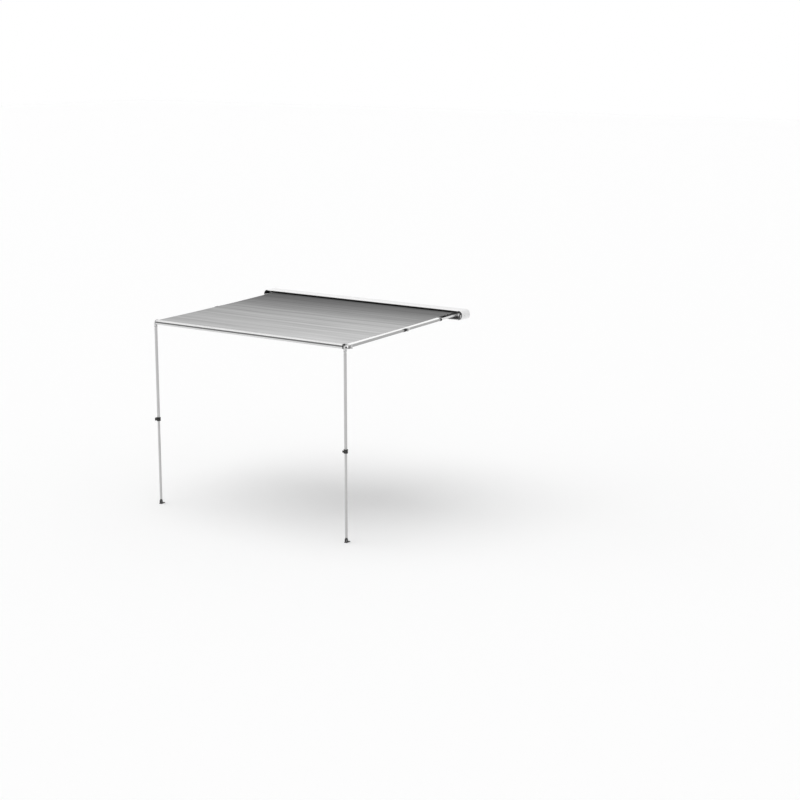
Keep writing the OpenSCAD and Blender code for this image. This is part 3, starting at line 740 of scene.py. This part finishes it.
def dress_cassette():
    for node in ("hood", "bottom_tray"):
        dressed(node, [WHITE, TRAY], EDGE_FINE, pick=case_side)
    screws = Shape()
    for side, sx in SIDES.items():
        dress_end_cap(side, sx)
        add_cap_screws(screws, side, sx)
    screws.build("end_cap_screws", STEEL, "cassette")
    dressed("rafter_wall_brackets", [CASTING], EDGE_FINE)
    paint("back_rail", RAIL)
    make_seal()
    for node in ("spring_shaft", "torsion_spring", "idler_pin"):
        paint(node, STEEL)
    for node in ("wall_pivot_pins", "cassette_screws", "bar_pivot_pins"):
        dressed(node, [STEEL], EDGE_PIN)
    paint("roller_tube", RAIL)
    paint("roller_plugs", BLACK)


dress_cassette()


# Front bar

# Screws of a bar cap in millimetres: up and down the fall from its middle, and down from its top
BAR_SCREW_ALONG = (-15, 15)
BAR_SCREW_DOWN = 13


def add_bar_screws(shape, side, sx):
    lo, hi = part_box("bar_end_cap_" + side)
    face_x = hi.x if sx > 0 else lo.x
    middle = Vector((face_x, (lo.y + hi.y) / 2, hi.z - BAR_SCREW_DOWN * MM))
    for along in BAR_SCREW_ALONG:
        shape.screw(Place(middle + uphill * (along * MM), X * sx), *BAR_SCREW)


def dress_bar():
    paint("lead_bar", BAR)
    paint("groove_strip", GROOVE)
    dressed("rafter_bar_brackets", [FITTING], EDGE_FINE)
    screws = Shape()
    for side, sx in SIDES.items():
        dressed("bar_end_cap_" + side, [BLACK], EDGE_BAR_CAP, segments=3)
        add_bar_screws(screws, side, sx)
    screws.build("bar_cap_screws", STEEL, "lead_bar")


dress_bar()


# Rafters

# Section of a twist lock in millimetres: along its axis, and in from its outside
COLLAR_SECTION = [
    (-14.0, 2.7), (-14.0, 0.6), (-13.2, 0.0), (-11.5, 0.0), (-10.5, "grip"), (10.5, "grip"),
    (11.5, 0.0), (13.2, 0.0), (14.0, 0.6), (14.0, 5.2), (0.3, 5.2), (0.3, 2.7),
]
GRIP_FLUTES = 24
GRIP_DEPTH = 0.9
COLLAR_SIDES = 144


def make_collar(side):
    """The twist lock, with a fluted grip."""
    node = "lock_collar_" + side
    place = Place(joints["lock_twist_" + side]["pos_m"], uphill)
    lo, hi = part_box(node)
    outside = (hi.x - lo.x) / 2 / MM
    grip = flutes(outside, GRIP_DEPTH, GRIP_FLUTES)
    rings = [
        place.ring(x, grip if inward == "grip" else outside - inward, COLLAR_SIDES)
        for x, inward in COLLAR_SECTION
    ]
    shape = Shape()
    shape.net(rings, close=True, wrap=True)
    collar = shape.build("twist_collar_" + side, BLACK, node, sharp=30.0)
    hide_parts(node)


def dress_rafter(side):
    make_collar(side)
    dressed("rafter_rod_" + side, [ROD], EDGE_FINE)
    paint("rafter_mid_tube_" + side, TUBE)
    paint("rafter_front_tube_" + side, TUBE)
    dressed("elbow_rear_" + side, [FITTING], EDGE_ELBOW)
    dressed("elbow_front_" + side, [BLACK], EDGE_ELBOW)
    dressed("rafter_front_eye_" + side, [FITTING], EDGE_FINE)
    dressed("elbow_pin_" + side, [STEEL], EDGE_PIN)


for side in SIDES:
    dress_rafter(side)


# Legs

# The bolt that a leg hangs from, in millimetres: along it, and its radius there
BOLT_KEY = hexagon(6)
BOLT_SECTION = [
    (-34, 5.0), (13, 5.0), (13, 10.0), (16, 10.0), (17.8, 8.8), (19, 6.2),
    (19, BOLT_KEY), (15.5, BOLT_KEY),
]

# Beads round a clamp in millimetres: height from its middle, radius, and how far out their middle is
CLAMP_BEAD_HEIGHTS = (-19, 19)
CLAMP_BEAD_R = 1.0
CLAMP_BEAD_OUT = 0.3
CLAMP_BEAD_STEPS = 10
CLAMP_BEAD_SIDES = 64
CLAMP_SCREW_SINK = 0.8

# Ribs on a clamp's lever in millimetres: from its pin to each, to the lever's face, and the rib's
# length, width and height
LEVER_RIB_REACHES = (34, 38, 42, 46)
LEVER_FACE = 4
LEVER_RIB = (17, 2.2, 1.3)

# Treads on a foot in millimetres: thickness of its plate, each tread's reach and length, then width
# and height
FOOT_PLATE_T = 6
FOOT_TREADS = [(-16, 27), (19, 27), (27, 27), (53.5, 12)]
FOOT_TREAD_W = 3.0
FOOT_TREAD_H = 1.4


def add_leg_bolt(shape, side, sx):
    """The bolt that a leg hangs from, with a button head."""
    place = Place(joints["leg_rake_" + side]["pos_m"], X * sx)
    shape.loft([place.ring(along, radius) for along, radius in BOLT_SECTION])


def make_clamp(side, sx, axis):
    """Beads round the clamp, its clamping screw, and ribs for the finger on its lever."""
    pin = Vector(joints["clamp_release_" + side]["pos_m"])
    middle = Vector((axis.x, axis.y, pin.z))
    radius = (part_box("leg_clamp_" + side)[1].y - middle.y) / MM
    upright = Place(middle, Z)
    turns = [2 * math.pi * i / CLAMP_BEAD_STEPS for i in range(CLAMP_BEAD_STEPS)]
    section = [(CLAMP_BEAD_R * math.cos(t), CLAMP_BEAD_OUT + CLAMP_BEAD_R * math.sin(t)) for t in turns]
    beads = Shape()
    for height in CLAMP_BEAD_HEIGHTS:
        rings = [upright.ring(height + up, radius + out, CLAMP_BEAD_SIDES) for up, out in section]
        beads.net(rings, close=True, wrap=True)
    beads.build("clamp_beads_" + side, BLACK, "leg_upper_" + side)
    screw = Shape()
    screw.screw(Place(middle + Y * ((radius - CLAMP_SCREW_SINK) * MM), Y), *CLAMP_SCREW)
    screw.build("clamp_screw_" + side, STEEL, "leg_upper_" + side)
    ribs = Shape()
    for reach in LEVER_RIB_REACHES:
        spot = pin + Vector((-sx * reach * MM, -LEVER_FACE * MM, 0))
        ribs.rib(Place(spot, Z, -Y), *LEVER_RIB)
    ribs.build("lever_ribs_" + side, BLACK, "clamp_lever_" + side)


def make_foot_ribs(side, axis):
    """Treads across the foot's plate."""
    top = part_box("foot_" + side)[0].z + FOOT_PLATE_T * MM
    ribs = Shape()
    for reach, length in FOOT_TREADS:
        spot = (axis.x, axis.y + reach * MM, top)
        ribs.rib(Place(spot, X, Z), length, FOOT_TREAD_W, FOOT_TREAD_H)
    ribs.build("foot_ribs_" + side, FOOT, "foot_" + side)


def dress_leg(side, sx):
    axis = Vector(joints["leg_rake_" + side]["pos_m"])
    make_clamp(side, sx, axis)
    make_foot_ribs(side, axis)
    for node in ("leg_knuckle_", "leg_top_"):
        dressed(node + side, [FITTING], EDGE_SOFT)
    for node in ("leg_upper_tube_", "leg_lower_tube_"):
        paint(node + side, LEG)
    for node in ("leg_clamp_", "clamp_lever_"):
        dressed(node + side, [BLACK], EDGE_SOFT)
    for node in ("fold_pin_", "foot_pin_"):
        dressed(node + side, [STEEL], EDGE_PIN)
    dressed("foot_" + side, [FOOT], EDGE_SOFT)
    dressed("leg_end_plug_" + side, [FOOT], EDGE_FINE)


leg_bolts = Shape()
for side, sx in SIDES.items():
    add_leg_bolt(leg_bolts, side, sx)
    dress_leg(side, sx)
bolts = leg_bolts.build("leg_bolts_round", BOLT, "lead_bar")
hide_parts("leg_bolts")


# Stage: floor, light and camera

def make_floor():
    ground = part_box("foot_right")[0].z
    corners = [(x * FLOOR_HALF, y * FLOOR_HALF, ground) for x, y in ((-1, -1), (1, -1), (1, 1), (-1, 1))]
    mesh = bpy.data.meshes.new("floor")
    mesh.from_pydata(corners, [], [(0, 1, 2, 3)])
    floor = bpy.data.objects.new("floor", mesh)
    bpy.context.scene.collection.objects.link(floor)
    s = Surface("pale_floor", Roughness=0.9, Base_Color=srgb(FLOOR_GREY))
    mesh.materials.append(s.mat)


def make_world():
    """Even light on the object, and white where the camera or a reflection looks past it."""
    world = bpy.data.worlds.new("studio")
    world.use_nodes = True
    bpy.context.scene.world = world
    tree = world.node_tree
    background = next(n for n in tree.nodes if n.type == "BACKGROUND")
    background.inputs["Color"].default_value = (1.0, 1.0, 1.0, 1.0)
    path = tree.nodes.new("ShaderNodeLightPath")
    seen = path.outputs["Is Camera Ray"]
    for ray in ("Is Glossy Ray", "Is Transmission Ray"):
        either = tree.nodes.new("ShaderNodeMath")
        either.operation = "MAXIMUM"
        tree.links.new(seen, either.inputs[0])
        tree.links.new(path.outputs[ray], either.inputs[1])
        seen = either.outputs["Value"]
    strength = tree.nodes.new("ShaderNodeMapRange")
    strength.inputs["To Min"].default_value = AMBIENT
    tree.links.new(seen, strength.inputs["Value"])
    tree.links.new(strength.outputs["Result"], background.inputs["Strength"])


def make_sun(name, turn, strength, spread):
    data = bpy.data.lights.new(name, "SUN")
    data.energy = strength
    data.angle = math.radians(spread)
    lamp = bpy.data.objects.new(name, data)
    lamp.rotation_euler = tuple(math.radians(v) for v in turn)
    bpy.context.scene.collection.objects.link(lamp)


def make_camera():
    data = bpy.data.cameras.new("photo_camera")
    data.lens = CAMERA_LENS_MM
    data.sensor_width = CAMERA_SENSOR_MM
    data.clip_end = CAMERA_REACH
    camera = bpy.data.objects.new("photo_camera", data)
    camera.location = CAMERA_AT
    camera.rotation_euler = tuple(math.radians(v) for v in CAMERA_TURN)
    bpy.context.scene.collection.objects.link(camera)
    bpy.context.scene.camera = camera


make_floor()
make_world()
for name, settings in SUNS.items():
    make_sun(name, *settings)
make_camera()
bpy.context.scene.view_settings.view_transform = "Standard"
